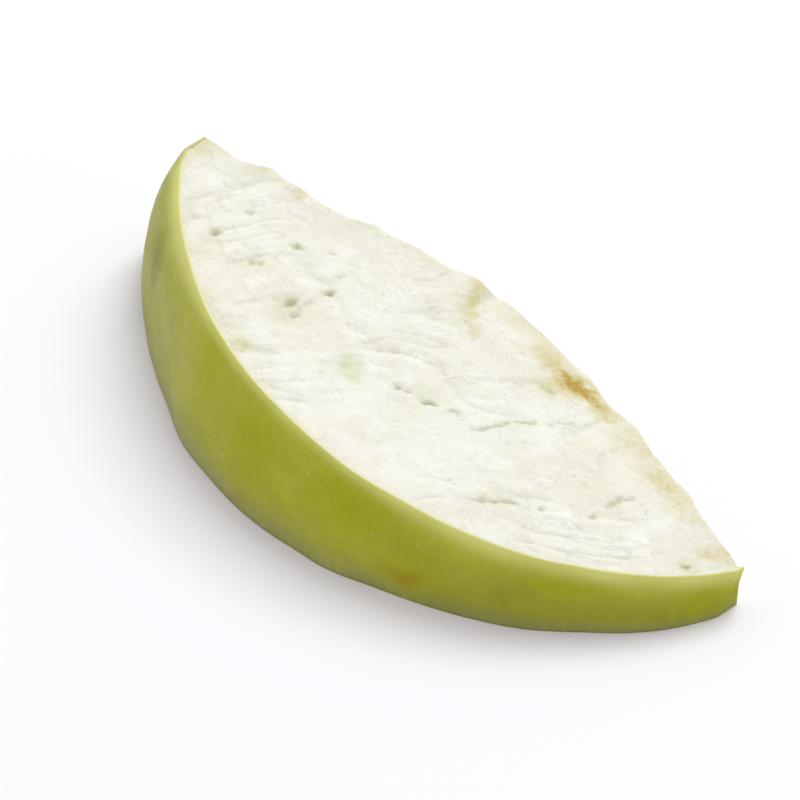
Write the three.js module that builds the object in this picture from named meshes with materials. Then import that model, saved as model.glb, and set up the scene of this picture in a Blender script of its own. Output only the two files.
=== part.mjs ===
// A freeze-dried apple slice, lying flat on its lower cut face.
//
// Units are millimetres. +X runs along the slice, from its thick tip to its thin tip,
// the peel faces -Y, the core side faces +Y and +Z is up. The origin is on the underside,
// below the middle of the bounding box.
//
// The fruit is a round body whose axis lies in the lower cut plane, parallel to X. Two
// cuts and the core cut leave one solid. Its six faces (lower cut, upper cut, peel, core
// side and two tips) are the six sides of a subdivided box, and placePoint() moves each
// vertex of that box to its place on the slice.

import * as THREE from 'three';
import { mergeVertices } from 'three/addons/utils/BufferGeometryUtils.js';

// Whole fruit: half of its height, its largest radius, how blunt its ends are, where its
// widest ring lies along X, how far its shape leans towards one end, and its axis.
const FRUIT_HALF_HEIGHT = 37.4;
const FRUIT_RADIUS = 34.5;
const FRUIT_BLUNTNESS = 2.14;
const FRUIT_MIDDLE_X = 0.65;
const FRUIT_LEAN = 0.036;
const FRUIT_AXIS_Y = 20.53;

// Where the round outside stands out of that plain form: at which x and z, how wide along
// X and along Z, and how far out.
const SWELLS = [
  { x: -35, z: 6, halfLength: 7, halfHeight: 10, out: 1.8 },
  { x: -14, z: 2, halfLength: 3.8, halfHeight: 7, out: 0.6 },
  { x: -3.7, z: 2, halfLength: 8.2, halfHeight: 7, out: 1 },
  { x: 5.6, z: 2, halfLength: 3.5, halfHeight: 7, out: 0.5 },
  { x: 23.3, z: 2, halfLength: 5.2, halfHeight: 7, out: 0.3 },
  { x: 31.3, z: 1, halfLength: 3.3, halfHeight: 6, out: 0.85 },
];

// Slice: its greatest length, how far the thick tip leans in as it rises, how far the
// thin tip is set back at its foot, and the width of both blunt tips.
const SLICE_LENGTH = 68;
const THICK_TIP_LEAN = 3.1;
const THIN_TIP_FOOT = 0.5;
const TIP_THICKNESS = 0.8;

// Upper cut: a plane that falls towards the thin tip and towards the core.
const CUT_HEIGHT = 9.864;
const CUT_FALL_ALONG = 0.133;
const CUT_FALL_TO_CORE = 0.12;

// Dried flesh sinks a little between the peel and the core, in low waves, and less so
// where the slice is narrower than the full width.
const SAG_DEPTH = 0.45;
const SAG_FULL_WIDTH = 12;
const WAVE_HEIGHT = 0.1;
const WAVE_LENGTH_ALONG = 21;
const WAVE_LENGTH_ACROSS = 11;

// Core side: a blunt corner between two nearly straight runs, its rounding, and how far
// its foot is set back below its top edge halfway along.
const CORE_CORNER_X = 1.7;
const CORE_CORNER_Y = 15.83;
const CORE_FALL_TO_THICK_TIP = 0.26;
const CORE_FALL_TO_THIN_TIP = 0.265;
const CORE_CORNER_ROUNDING = 2.5;
const CORE_FOOT_SET_BACK = 0.6;

// Carpel strip: the smooth wall of the seed chamber, a band along the core edge between
// the notch and the thin tip, lower than the flesh and falling outwards.
const STRIP_START_X = -3.2;
const STRIP_END_X = 28;
const STRIP_WIDTH = 5;
const STRIP_FALL = 0.32;
const STRIP_EDGE_SOFTNESS = 1.1;

// Notch in the core edge, where the strip begins.
const NOTCH_X = -2.6;
const NOTCH_HALF_WIDTH = 1.1;
const NOTCH_REACH = 5.5;
const NOTCH_DEPTH = 0.6;
const NOTCH_SET_BACK = 0.2;

// Lobes of the core edge: where each one is, how wide, and how far it stands out (or in).
const CORE_LOBES = [
  { x: -27.4, halfWidth: 4, out: -1 },
  { x: -24.6, halfWidth: 1.1, out: 0.6 },
  { x: -17.2, halfWidth: 4.7, out: -1 },
  { x: -14.7, halfWidth: 1.3, out: 0.65 },
  { x: -7.2, halfWidth: 1.3, out: -0.5 },
  { x: 1.4, halfWidth: 2.2, out: -0.5 },
  { x: 9.2, halfWidth: 2.6, out: 0.8 },
  { x: 14.9, halfWidth: 2.8, out: 1.1 },
  { x: 20, halfWidth: 4.4, out: 1.1 },
  { x: 24.5, halfWidth: 2.2, out: 0.6 },
];

// Facets along the slice, across it and up its sides.
const FACETS_ALONG = 80;
const FACETS_ACROSS = 16;
const FACETS_UP = 7;

const FLESH_COLOR = 0xecebdc;
const FLESH_ROUGHNESS = 0.9;

function mix(start, end, share) {
  return start + (end - start) * share;
}

function bell(distance, halfWidth) {
  return Math.exp(-((distance / halfWidth) ** 2));
}

// A ramp that is 0 before its start and rises one for one after it, with a soft bend.
function softRamp(distance, softness) {
  return 0.5 * (distance + Math.hypot(distance, softness));
}

function softStep(distance, softness) {
  return 0.5 * (1 + distance / Math.hypot(distance, softness));
}

// Radius of the whole fruit at x.
function fruitRadius(x) {
  const share = (x - FRUIT_MIDDLE_X) / FRUIT_HALF_HEIGHT;
  const leaned = share * (1 + FRUIT_LEAN * share);
  const rest = Math.max(0, 1 - Math.abs(leaned) ** FRUIT_BLUNTNESS);
  return FRUIT_RADIUS * Math.sqrt(rest);
}

// Where the peel lies at x and height z.
function peelY(x, z) {
  const halfChord = Math.sqrt(Math.max(0, fruitRadius(x) ** 2 - z ** 2));
  return FRUIT_AXIS_Y - halfChord;
}

// How far the swells stand out at x and height z.
function swellOut(x, z) {
  let out = 0;
  for (const swell of SWELLS) {
    out += swell.out * bell(x - swell.x, swell.halfLength) * bell(z - swell.z, swell.halfHeight);
  }
  return out;
}

// Where the plane of the upper cut meets the peel at x: the nearer root of the quadratic
// that the plane's height makes with the round body.
function rimY(x) {
  const height = CUT_HEIGHT - CUT_FALL_ALONG * x;
  const square = 1 + CUT_FALL_TO_CORE ** 2;
  const linear = -2 * (FRUIT_AXIS_Y + CUT_FALL_TO_CORE * height);
  const constant = FRUIT_AXIS_Y ** 2 + height ** 2 - fruitRadius(x) ** 2;
  const discriminant = Math.max(0, linear ** 2 - 4 * square * constant);
  return (-linear - Math.sqrt(discriminant)) / (2 * square);
}

// The core side's outline at its top edge.
function coreY(x) {
  const fromCorner = x - CORE_CORNER_X;
  const toThickTip = CORE_FALL_TO_THICK_TIP * softRamp(-fromCorner, CORE_CORNER_ROUNDING);
  const toThinTip = CORE_FALL_TO_THIN_TIP * softRamp(fromCorner, CORE_CORNER_ROUNDING);
  const notch = NOTCH_SET_BACK * bell(x - NOTCH_X, NOTCH_HALF_WIDTH);
  let y = CORE_CORNER_Y - toThickTip - toThinTip - notch;
  for (const lobe of CORE_LOBES) {
    y += lobe.out * bell(x - lobe.x, lobe.halfWidth);
  }
  return y;
}

// How far the carpel strip and the notch lie below the upper cut's plane.
function coreRelief(x, y) {
  const along = (x - STRIP_START_X) / (STRIP_END_X - STRIP_START_X);
  const toEdge = coreY(x) - y;
  let relief = 0;
  if (along > 0 && along < 1) {
    const width = STRIP_WIDTH * Math.sqrt(Math.sin(Math.PI * along));
    const opening = softStep(x - STRIP_START_X - STRIP_EDGE_SOFTNESS, STRIP_EDGE_SOFTNESS);
    const closing = softStep(STRIP_END_X - x - STRIP_EDGE_SOFTNESS, STRIP_EDGE_SOFTNESS);
    relief += STRIP_FALL * softRamp(width - toEdge, STRIP_EDGE_SOFTNESS) * opening * closing;
  }
  const reach = Math.min(1, Math.max(0, 1 - toEdge / NOTCH_REACH));
  relief += NOTCH_DEPTH * reach * bell(x - NOTCH_X, NOTCH_HALF_WIDTH);
  return relief;
}

// Height of the upper face at x and y, where the slice has the given width; acrossShare
// is 0 at the peel and 1 at the core.
function topZ(x, y, acrossShare, width) {
  const plane = CUT_HEIGHT - CUT_FALL_ALONG * x - CUT_FALL_TO_CORE * y;
  const inside = Math.sin(Math.PI * acrossShare) * Math.min(1, width / SAG_FULL_WIDTH);
  const waves = Math.sin((2 * Math.PI * x) / WAVE_LENGTH_ALONG + y / WAVE_LENGTH_ACROSS)
    + Math.sin((2 * Math.PI * (y + x / 3)) / WAVE_LENGTH_ACROSS);
  const sag = inside * (SAG_DEPTH - WAVE_HEIGHT * waves);
  const awayFromPeel = Math.min(1, 2 * acrossShare);
  return plane - sag - awayFromPeel * coreRelief(x, y);
}

// Moves a point of the unit box onto the slice: alongShare runs from the thick tip to the
// thin tip, acrossShare from the peel to the core, upShare from the underside to the top.
function placePoint(alongShare, acrossShare, upShare) {
  const thickTipX = -SLICE_LENGTH / 2 + THICK_TIP_LEAN * upShare ** 2;
  const thinTipX = SLICE_LENGTH / 2 - THIN_TIP_FOOT * (1 - upShare);
  const x = mix(thickTipX, thinTipX, alongShare);

  const topX = mix(-SLICE_LENGTH / 2 + THICK_TIP_LEAN, SLICE_LENGTH / 2, alongShare);
  const topPeelY = rimY(topX);
  const topCoreY = Math.max(coreY(topX), topPeelY + TIP_THICKNESS);
  const topY = mix(topPeelY, topCoreY, acrossShare);
  const z = upShare * topZ(topX, topY, acrossShare, topCoreY - topPeelY);

  const nearY = peelY(x, z) - swellOut(x, z);
  const setBack = CORE_FOOT_SET_BACK * (1 - upShare) * Math.sin(Math.PI * alongShare);
  const farY = Math.max(coreY(x) - setBack, nearY + TIP_THICKNESS);
  return new THREE.Vector3(x, mix(nearY, farY, acrossShare), z);
}

function makeSlice() {
  const geometry = new THREE.BoxGeometry(1, 1, 1, FACETS_ALONG, FACETS_ACROSS, FACETS_UP);
  geometry.deleteAttribute('normal');
  geometry.deleteAttribute('uv');
  const position = geometry.getAttribute('position');
  for (let index = 0; index < position.count; index += 1) {
    const alongShare = position.getX(index) + 0.5;
    const acrossShare = position.getY(index) + 0.5;
    const upShare = position.getZ(index) + 0.5;
    const placed = placePoint(alongShare, acrossShare, upShare);
    position.setXYZ(index, placed.x, placed.y, placed.z);
  }
  const closed = mergeVertices(geometry);
  closed.computeVertexNormals();
  return closed;
}

const slice = new THREE.Mesh(
  makeSlice(),
  new THREE.MeshStandardMaterial({ color: FLESH_COLOR, roughness: FLESH_ROUGHNESS, metalness: 0 }),
);
slice.name = 'apple_slice';

const part = new THREE.Group();
part.add(slice);

export default part;
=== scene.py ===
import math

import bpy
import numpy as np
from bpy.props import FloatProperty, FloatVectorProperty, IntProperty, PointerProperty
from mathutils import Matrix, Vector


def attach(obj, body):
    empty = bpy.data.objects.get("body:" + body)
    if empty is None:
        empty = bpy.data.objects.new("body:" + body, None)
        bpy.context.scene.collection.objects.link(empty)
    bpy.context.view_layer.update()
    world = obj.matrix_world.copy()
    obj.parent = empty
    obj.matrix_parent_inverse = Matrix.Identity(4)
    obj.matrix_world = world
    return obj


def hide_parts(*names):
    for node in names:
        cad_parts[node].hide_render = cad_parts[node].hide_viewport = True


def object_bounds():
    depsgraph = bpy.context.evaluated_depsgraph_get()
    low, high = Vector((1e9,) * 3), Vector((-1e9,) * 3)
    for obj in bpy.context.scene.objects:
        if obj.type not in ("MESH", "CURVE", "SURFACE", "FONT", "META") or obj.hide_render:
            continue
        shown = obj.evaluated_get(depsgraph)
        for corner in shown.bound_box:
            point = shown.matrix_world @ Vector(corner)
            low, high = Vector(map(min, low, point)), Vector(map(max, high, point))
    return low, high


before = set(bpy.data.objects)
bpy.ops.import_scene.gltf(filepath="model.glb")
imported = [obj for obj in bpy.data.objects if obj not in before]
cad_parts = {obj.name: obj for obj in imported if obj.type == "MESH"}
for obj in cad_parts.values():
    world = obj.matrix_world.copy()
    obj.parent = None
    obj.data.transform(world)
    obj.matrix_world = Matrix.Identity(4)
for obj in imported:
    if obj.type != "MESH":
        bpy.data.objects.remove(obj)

# A freeze-dried apple slice: chalky cut flesh with a thin green peel along its outer side.
#
# Shapes are worked out in millimetres in the CAD frame (+X along the slice, from the thick
# tip to the thin tip, -Y out of the peel, +Y out of the core side, +Z up) and are turned
# into metres when a mesh is made.

bl_info = {
    "name": "Freeze-dried apple slice",
    "version": (1, 0, 0),
    "blender": (4, 5, 0),
    "location": "3D View > Sidebar > Slice",
    "description": "Builds a freeze-dried apple slice with wrinkled flesh and a thin green peel",
    "category": "Add Mesh",
}

NODE = "apple_slice"
BODY = "root"
METRES = 0.001

CAD_LOW, CAD_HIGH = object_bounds()
SLICE_LENGTH = (CAD_HIGH.x - CAD_LOW.x) / METRES

# The whole fruit: half its height, its largest radius, how blunt its ends are, where its
# widest ring lies along X, how far it leans towards one end, and where its axis is.
FRUIT_HALF_HEIGHT = 37.4
FRUIT_RADIUS = 34.5
FRUIT_BLUNTNESS = 2.14
FRUIT_MIDDLE_X = 0.65
FRUIT_LEAN = 0.036
FRUIT_AXIS_Y = 20.53

# The cuts: how far the tips lean and how wide they are, and the plane of the upper cut.
THICK_TIP_LEAN = 3.1
THIN_TIP_FOOT = 0.5
TIP_THICKNESS = 0.8
CUT_HEIGHT = 9.864
CUT_FALL_ALONG = 0.133
CUT_FALL_TO_CORE = 0.12

# The core side: a blunt corner between two nearly straight runs, with low lobes.
CORE_CORNER_X = 1.7
CORE_CORNER_Y = 15.83
CORE_FALL_TO_THICK_TIP = 0.26
CORE_FALL_TO_THIN_TIP = 0.265
CORE_CORNER_ROUNDING = 2.5
CORE_FOOT_SET_BACK = 0.6
CORE_LOBES = (
    # x, half width, how far it stands out
    (-27.4, 4.0, -1.0),
    (-24.6, 1.1, 0.6),
    (-17.2, 4.7, -1.0),
    (-14.7, 1.3, 0.65),
    (-7.2, 1.3, -0.5),
    (1.4, 2.2, -0.5),
    (9.2, 2.6, 0.8),
    (14.9, 2.8, 1.1),
    (20.0, 4.4, 1.1),
    (24.5, 2.2, 0.6),
)

# Where the round outside stands out of the plain form.
SWELLS = (
    # x, z, half width along x, half width along z, how far it stands out
    (-35.0, 6.0, 7.0, 10.0, 1.8),
    (-14.0, 2.0, 3.8, 7.0, 0.6),
    (-3.7, 2.0, 8.2, 7.0, 1.0),
    (5.6, 2.0, 3.5, 7.0, 0.5),
    (23.3, 2.0, 5.2, 7.0, 0.3),
    (31.3, 1.0, 3.3, 6.0, 0.85),
)

# The carpel strip, the smooth wall of the seed chamber, and the notch where it begins.
STRIP_START_X = -3.2
STRIP_END_X = 28.0
STRIP_WIDTH = 5.0
STRIP_FALL = 0.32
STRIP_EDGE_SOFTNESS = 1.1
NOTCH_X = -2.6
NOTCH_HALF_WIDTH = 1.1
NOTCH_REACH = 5.5
NOTCH_DEPTH = 0.6
NOTCH_SET_BACK = 0.2


# ---- small curves and noise ----


def in_mm(length):
    """A length of the settings, which are in metres, as millimetres."""
    return length / METRES


def mix(start, end, share):
    """start plus share times the way from start to end."""
    return start + (end - start) * share


def bell(distance, half_width):
    """e to the minus square of distance over half width: 1 in the middle, 0 far away."""
    return np.exp(-((distance / half_width) ** 2))


def soft_ramp(distance, softness):
    """Half of distance plus the hypotenuse of distance and softness: 0, then one for one."""
    return 0.5 * (distance + np.hypot(distance, softness))


def soft_step(distance, softness):
    """Half of 1 plus distance over the hypotenuse of distance and softness: 0, then 1."""
    return 0.5 * (1 + distance / np.hypot(distance, softness))


def smooth_step(low, high, value):
    """3 t squared minus 2 t cubed, where t runs from 0 at low to 1 at high."""
    t = np.clip((value - low) / (high - low), 0, 1)
    return t * t * (3 - 2 * t)


class Noise:
    """Smooth 3-D gradient noise and cell noise from one seed."""

    TABLE = 256

    def __init__(self, seed):
        random = np.random.default_rng(seed)
        self.order = random.permutation(self.TABLE)
        ways = random.normal(size=(self.TABLE, 3))
        self.ways = ways / np.linalg.norm(ways, axis=1)[:, None]
        self.jitter = random.random((self.TABLE, 3))

    def corner(self, i, j, k):
        """A number of 0 to 255 for each cell corner: the order table read three times."""
        first = self.order[i % self.TABLE]
        second = self.order[(first + j) % self.TABLE]
        return self.order[(second + k) % self.TABLE]

    def gradient(self, points):
        """Gradient noise, about -1 to 1: at each corner of a point's unit cell, the dot product
        of a random direction and the way from the corner, blended smoothly."""
        base = np.floor(points).astype(int)
        part = points - base
        ease = part**3 * (part * (part * 6 - 15) + 10)
        total = np.zeros(len(points))
        for i in (0, 1):
            for j in (0, 1):
                for k in (0, 1):
                    step = np.array((i, j, k))
                    corner = self.corner(*(base + step).T)
                    value = np.einsum("ij,ij->i", self.ways[corner], part - step)
                    weight = np.prod(np.where(step == 1, ease, 1 - ease), axis=1)
                    total += value * weight
        return total * 1.6

    def layers(self, points, octaves, gain=0.5):
        """Gradient noise summed over octaves, each twice as fine and gain times as high."""
        total = np.zeros(len(points))
        height = 1.0
        for octave in range(octaves):
            total += height * self.gradient(points * 2**octave + 17.3 * octave)
            height *= gain
        return total

    def cells(self, points):
        """Distances to the nearest and the second nearest of one random point per unit cell."""
        base = np.floor(points).astype(int)
        nearest = np.full(len(points), 9.0)
        second = np.full(len(points), 9.0)
        for i in (-1, 0, 1):
            for j in (-1, 0, 1):
                for k in (-1, 0, 1):
                    cell = base + np.array((i, j, k))
                    seed_point = cell + self.jitter[self.corner(*cell.T)]
                    away = np.linalg.norm(points - seed_point, axis=1)
                    second = np.minimum(second, np.maximum(nearest, away))
                    nearest = np.minimum(nearest, away)
        return nearest, second


# ---- the slice's plain form ----


def fruit_radius(x):
    """Largest radius times the root of 1 minus the blunt power of the leaned share of x."""
    share = (x - FRUIT_MIDDLE_X) / FRUIT_HALF_HEIGHT
    leaned = share * (1 + FRUIT_LEAN * share)
    return FRUIT_RADIUS * np.sqrt(np.maximum(0, 1 - np.abs(leaned) ** FRUIT_BLUNTNESS))


def peel_y(x, z):
    """The near side of the round body at x and z: the axis minus half the chord at z."""
    return FRUIT_AXIS_Y - np.sqrt(np.maximum(0, fruit_radius(x) ** 2 - z**2))


def swell(x, z):
    """The sum over the swells of how far each stands out times two bells, one for each
    direction."""
    total = 0
    for at_x, at_z, half_x, half_z, out in SWELLS:
        total = total + out * bell(x - at_x, half_x) * bell(z - at_z, half_z)
    return total


def rim_y(x):
    """Where the upper cut's plane meets the round body: the nearer root of a quadratic."""
    height = CUT_HEIGHT - CUT_FALL_ALONG * x
    square = 1 + CUT_FALL_TO_CORE**2
    linear = -2 * (FRUIT_AXIS_Y + CUT_FALL_TO_CORE * height)
    constant = FRUIT_AXIS_Y**2 + height**2 - fruit_radius(x) ** 2
    discriminant = np.maximum(0, linear**2 - 4 * square * constant)
    return (-linear - np.sqrt(discriminant)) / (2 * square)


def cut_height(x, y):
    """Height of the upper cut's plane at x and y."""
    return CUT_HEIGHT - CUT_FALL_ALONG * x - CUT_FALL_TO_CORE * y


def core_y(x):
    """The core side's outline: a blunt corner, less the notch, plus each lobe's bell."""
    from_corner = x - CORE_CORNER_X
    y = CORE_CORNER_Y - NOTCH_SET_BACK * bell(x - NOTCH_X, NOTCH_HALF_WIDTH)
    y = y - CORE_FALL_TO_THICK_TIP * soft_ramp(-from_corner, CORE_CORNER_ROUNDING)
    y = y - CORE_FALL_TO_THIN_TIP * soft_ramp(from_corner, CORE_CORNER_ROUNDING)
    for lobe_x, half_width, out in CORE_LOBES:
        y = y + out * bell(x - lobe_x, half_width)
    return y


def strip_share(x):
    """0 at the carpel strip's start to 1 at its end, held between the two."""
    return np.clip((x - STRIP_START_X) / (STRIP_END_X - STRIP_START_X), 0, 1)


def core_relief(x, y):
    """Depth of the strip and the notch: a soft ramp from the strip's inner edge to the core
    edge, opened at its start and closed at its end, plus a bell-shaped groove."""
    to_edge = core_y(x) - y
    width = STRIP_WIDTH * np.sqrt(np.sin(np.pi * strip_share(x)))
    opening = soft_step(x - STRIP_START_X - STRIP_EDGE_SOFTNESS, STRIP_EDGE_SOFTNESS)
    closing = soft_step(STRIP_END_X - x - STRIP_EDGE_SOFTNESS, STRIP_EDGE_SOFTNESS)
    inside = (x > STRIP_START_X) & (x < STRIP_END_X)
    depth = STRIP_FALL * soft_ramp(width - to_edge, STRIP_EDGE_SOFTNESS)
    reach = np.clip(1 - to_edge / NOTCH_REACH, 0, 1)
    notch = NOTCH_DEPTH * reach * bell(x - NOTCH_X, NOTCH_HALF_WIDTH)
    return np.where(inside, depth * opening * closing, 0) + notch


def place(along, across, up):
    """A point of the unit box moved onto the slice. along goes from the thick tip to the
    thin tip, across from the peel to the core and up from the underside to the upper cut."""
    thick_x = -SLICE_LENGTH / 2 + THICK_TIP_LEAN * up**2
    thin_x = SLICE_LENGTH / 2 - THIN_TIP_FOOT * (1 - up)
    x = mix(thick_x, thin_x, along)
    top_x = mix(THICK_TIP_LEAN - SLICE_LENGTH / 2, SLICE_LENGTH / 2, along)
    top_near = rim_y(top_x)
    top_far = np.maximum(core_y(top_x), top_near + TIP_THICKNESS)
    top_y = mix(top_near, top_far, across)
    top_z = cut_height(top_x, top_y) - np.minimum(1, 2 * across) * core_relief(top_x, top_y)
    z = up * top_z
    near = peel_y(x, z) - swell(x, z)
    near_at_top = peel_y(top_x, top_z) - swell(top_x, top_z)
    set_back = CORE_FOOT_SET_BACK * (1 - up) * np.sin(np.pi * along)
    far = np.maximum(core_y(x) - set_back, mix(near, near_at_top, 0.5) + TIP_THICKNESS)
    return np.stack((x, mix(near, far, across), z), axis=-1)


# ---- marks on the upper cut ----

# Pits that dried open, seen as grey-green dots: x, y, length, width, turn in degrees, depth.
PITS = (
    (-22.0, -0.4, 0.50, 0.34, 30, 0.30),
    (-22.0, 3.8, 0.42, 0.26, 60, 0.26),
    (-18.3, 4.2, 0.36, 0.20, 45, 0.18),
    (-16.5, 4.1, 0.62, 0.27, 45, 0.32),
    (-17.5, -0.5, 0.42, 0.30, 120, 0.26),
    (-16.8, -0.2, 0.40, 0.26, 80, 0.24),
    (-16.7, 1.5, 0.28, 0.20, 0, 0.12),
    (-14.3, 6.2, 0.32, 0.20, 20, 0.16),
    (-12.0, 4.7, 0.38, 0.22, 70, 0.18),
    (-11.9, -1.3, 0.58, 0.36, 100, 0.36),
    (-10.6, -2.0, 0.46, 0.28, 60, 0.30),
    (-10.9, 2.5, 0.44, 0.28, 60, 0.34),
    (8.0, 9.4, 0.32, 0.24, 0, 0.18),
    (8.8, 9.9, 0.34, 0.24, 0, 0.22),
    (21.9, 1.5, 0.50, 0.26, 80, 0.28),
    (31.0, 3.7, 0.42, 0.32, 0, 0.26),
)

# Cracks and creases as runs of straight stretches: points, half width, depth, how dark.
CRACKS = (
    (((0.8, -0.9), (1.6, -0.6)), 0.24, 0.30, 1.1),
    (((3.0, -0.5), (3.6, -0.2), (4.3, 0.0)), 0.29, 0.42, 1.2),
    (((5.4, 0.4), (6.1, 0.9)), 0.22, 0.28, 1.1),
    (((8.3, 0.5), (8.9, 1.6), (9.3, 3.0), (9.7, 4.4), (10.8, 5.8)), 0.20, 0.24, 0.85),
    (((11.6, 6.6), (12.6, 8.6)), 0.19, 0.20, 0.7),
    (((14.4, -5.6), (15.6, -4.2), (16.7, -3.0), (18.5, -1.5)), 0.32, 0.26, 0.9),
    (((22.1, 6.0), (21.6, 4.5), (21.7, 2.7)), 0.24, 0.25, 0.75),
    (((-14.5, -5.6), (-13.3, -3.2), (-10.8, 0.4)), 0.30, 0.14, 0.2),
    (((-10.9, -9.3), (-8.9, -7.7), (-8.2, -6.8)), 0.32, 0.16, 0.35),
    (((-3.6, 1.1), (-1.2, 3.8), (1.4, 4.1), (3.7, 4.8), (5.4, 6.7), (7.4, 9.7)), 0.28, 0.18, 0.22),
    (((18.3, 6.0), (16.9, 8.0), (16.8, 10.0)), 0.24, 0.14, 0.22),
    (((-27.0, -0.5), (-25.2, 1.7), (-24.4, 3.9)), 0.24, 0.12, 0.2),
    (((-6.5, 4.7), (-4.9, 7.1), (-4.4, 8.7)), 0.22, 0.12, 0.2),
)

# Flakes that stand up from the cut: x, y, length, width, turn in degrees, height.
FLAKES = (
    (20.9, -0.9, 1.6, 0.55, 40, 0.26),
    (26.3, 2.5, 1.2, 0.50, 30, 0.18),
    (-0.8, 2.0, 1.4, 0.45, 50, 0.16),
    (1.6, -1.8, 2.0, 0.5, 25, 0.16),
    (6.5, 2.5, 1.8, 0.5, 60, 0.14),
    (-2.6, -6.1, 1.4, 0.5, 50, 0.14),
    (12.5, -1.7, 2.2, 0.6, 40, 0.14),
    (-7.3, 1.5, 2.0, 0.5, 48, 0.14),
    (16.0, -5.5, 1.5, 0.5, 44, 0.14),
)

# Tints: x, y, radius, strength.
GREEN_MARKS = (
    (-25.3, 8.2, 1.1, 0.60),
    (-25.0, 6.0, 0.9, 0.45),
    (-21.1, 8.5, 0.7, 0.60),
    (-15.7, 10.5, 0.8, 0.45),
    (-14.5, 11.0, 0.8, 0.45),
    (-9.0, 12.3, 0.7, 0.40),
    (-4.3, -1.6, 0.9, 0.55),
    (-3.4, -2.5, 1.1, 0.70),
    (-2.4, -3.4, 0.9, 0.60),
    (-4.2, -3.6, 1.2, 0.30),
    (-3.6, 12.8, 0.8, 0.55),
    (-3.2, 12.0, 0.6, 0.60),
    (-2.5, 10.6, 0.7, 0.95),
    (-2.0, 9.6, 0.6, 0.70),
    (-22.2, -0.3, 0.9, 0.35),
    (-16.6, 4.2, 0.8, 0.35),
    (-17.2, -0.3, 1.2, 0.65),
    (-11.5, -1.7, 1.4, 0.65),
    (-12.1, 4.5, 1.5, 0.20),
    (-10.9, 2.5, 0.8, 0.40),
    (3.2, -0.1, 1.5, 0.40),
    (8.3, 9.7, 0.9, 0.85),
    (12.5, 8.6, 0.8, 0.30),
    (31.0, 3.7, 1.0, 0.95),
    (15.8, -3.9, 2.0, 0.32),
    (9.6, 4.1, 1.2, 0.26),
    (21.8, 4.1, 1.3, 0.26),
)

# Above 1 the middle turns a deeper brown.
BROWN_MARKS = (
    (-30.6, 6.0, 1.5, 0.70),
    (-30.0, 3.2, 1.0, 0.50),
    (-28.6, 7.2, 1.1, 0.25),
    (-20.9, 8.4, 0.8, 0.40),
    (-3.9, 13.1, 1.0, 0.95),
    (-2.9, 11.8, 0.8, 1.15),
    (-1.9, 10.6, 0.65, 0.95),
    (-1.0, 9.7, 0.6, 0.80),
    (-0.3, 9.1, 0.6, 0.65),
    (0.8, 13.8, 1.2, 0.35),
    (4.4, 13.0, 1.3, 0.80),
    (6.2, 12.8, 1.1, 0.80),
    (7.9, 12.7, 1.0, 1.15),
    (9.4, 12.7, 1.05, 1.45),
    (10.5, 12.6, 0.9, 1.05),
    (11.7, 12.5, 0.9, 0.90),
    (8.3, 11.0, 1.7, 0.95),
    (13.2, 12.3, 1.2, 0.75),
    (16.1, 12.0, 1.3, 0.55),
    (18.4, 11.3, 1.2, 0.50),
    (21.2, 10.1, 1.3, 0.95),
    (23.1, 9.6, 1.1, 0.95),
    (25.2, 8.8, 1.2, 0.80),
    (27.2, 8.2, 1.0, 0.60),
    (16.7, 9.6, 1.4, 0.30),
    (30.9, 6.4, 0.9, 0.90),
    (32.2, 7.4, 1.1, 0.70),
    (-12.1, -2.7, 1.1, 0.30),
    (-10.5, -9.0, 1.2, 0.80),
    (-13.2, -8.6, 1.1, 0.35),
    (-5.6, -11.7, 1.2, 0.40),
    (-1.2, -12.4, 0.9, 0.40),
    (-16.6, -7.5, 1.3, 0.40),
    (-21.5, -4.1, 1.4, 0.25),
)

# Whiter places above 0 and duller, warmer ones below 0. On the three raised flakes the
# whiter places are partly painted highlight.
TONE_MARKS = (
    (-15.0, -4.5, 5.5, -0.60),
    (-26.0, 1.0, 5.0, -0.40),
    (-31.0, 5.5, 3.0, -0.40),
    (2.5, 9.0, 4.5, -0.30),
    (17.0, -2.5, 3.0, -0.30),
    (20.5, 8.5, 4.5, -0.35),
    (8.0, -4.0, 4.5, 0.55),
    # On the raised flakes: whiter partly as painted highlight.
    (20.9, -0.9, 1.3, 1.00),
    (26.3, 2.5, 1.8, 0.70),
    (-0.8, 2.0, 1.6, 0.60),
    (-1.5, -5.0, 2.5, 0.35),
    (-8.0, 3.5, 4.0, 0.25),
)

# Greener and lighter patches of the peel: x, share of the height, half length, half
# height, strength.
FRESH_PATCHES = (
    (-20.4, 0.88, 1.8, 0.14, 0.40),
    (-12.4, 0.80, 2.4, 0.24, 0.90),
    (-4.3, 0.68, 3.4, 0.36, 0.75),
    (6.4, 0.74, 4.4, 0.30, 1.00),
    (13.3, 0.35, 2.6, 0.30, 0.60),
    (25.3, 0.74, 2.4, 0.26, 0.90),
    (33.0, 0.60, 1.2, 0.40, 0.90),
)
LIGHT_PATCHES = (
    (-8.7, 0.50, 2.0, 0.40, 0.20),
    (0.7, 0.55, 2.4, 0.35, 0.15),
    (17.5, 0.60, 3.0, 0.40, 0.15),
    (29.5, 0.85, 2.0, 0.30, 0.20),
)

# Stains of the peel: tint, x, z, half length, half height, strength, and how far the noise
# shifts the stain along x and z.
PEEL_STAINS = (
    ("dusk", -26.3, 8.2, 1.5, 2.4, 0.80, 1, -1),
    ("dusk", -30.9, 13.2, 1.0, 1.0, 0.35, 0, 0),
    ("bruise", 12.6, 2.3, 1.6, 1.0, 0.75, 1, 1),
    ("bruise", -5.1, 1.6, 1.2, 0.9, 0.35, -1, 0),
    ("bruise", -30.6, 13.0, 0.8, 0.8, 0.15, 0, 0),
)


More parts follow.
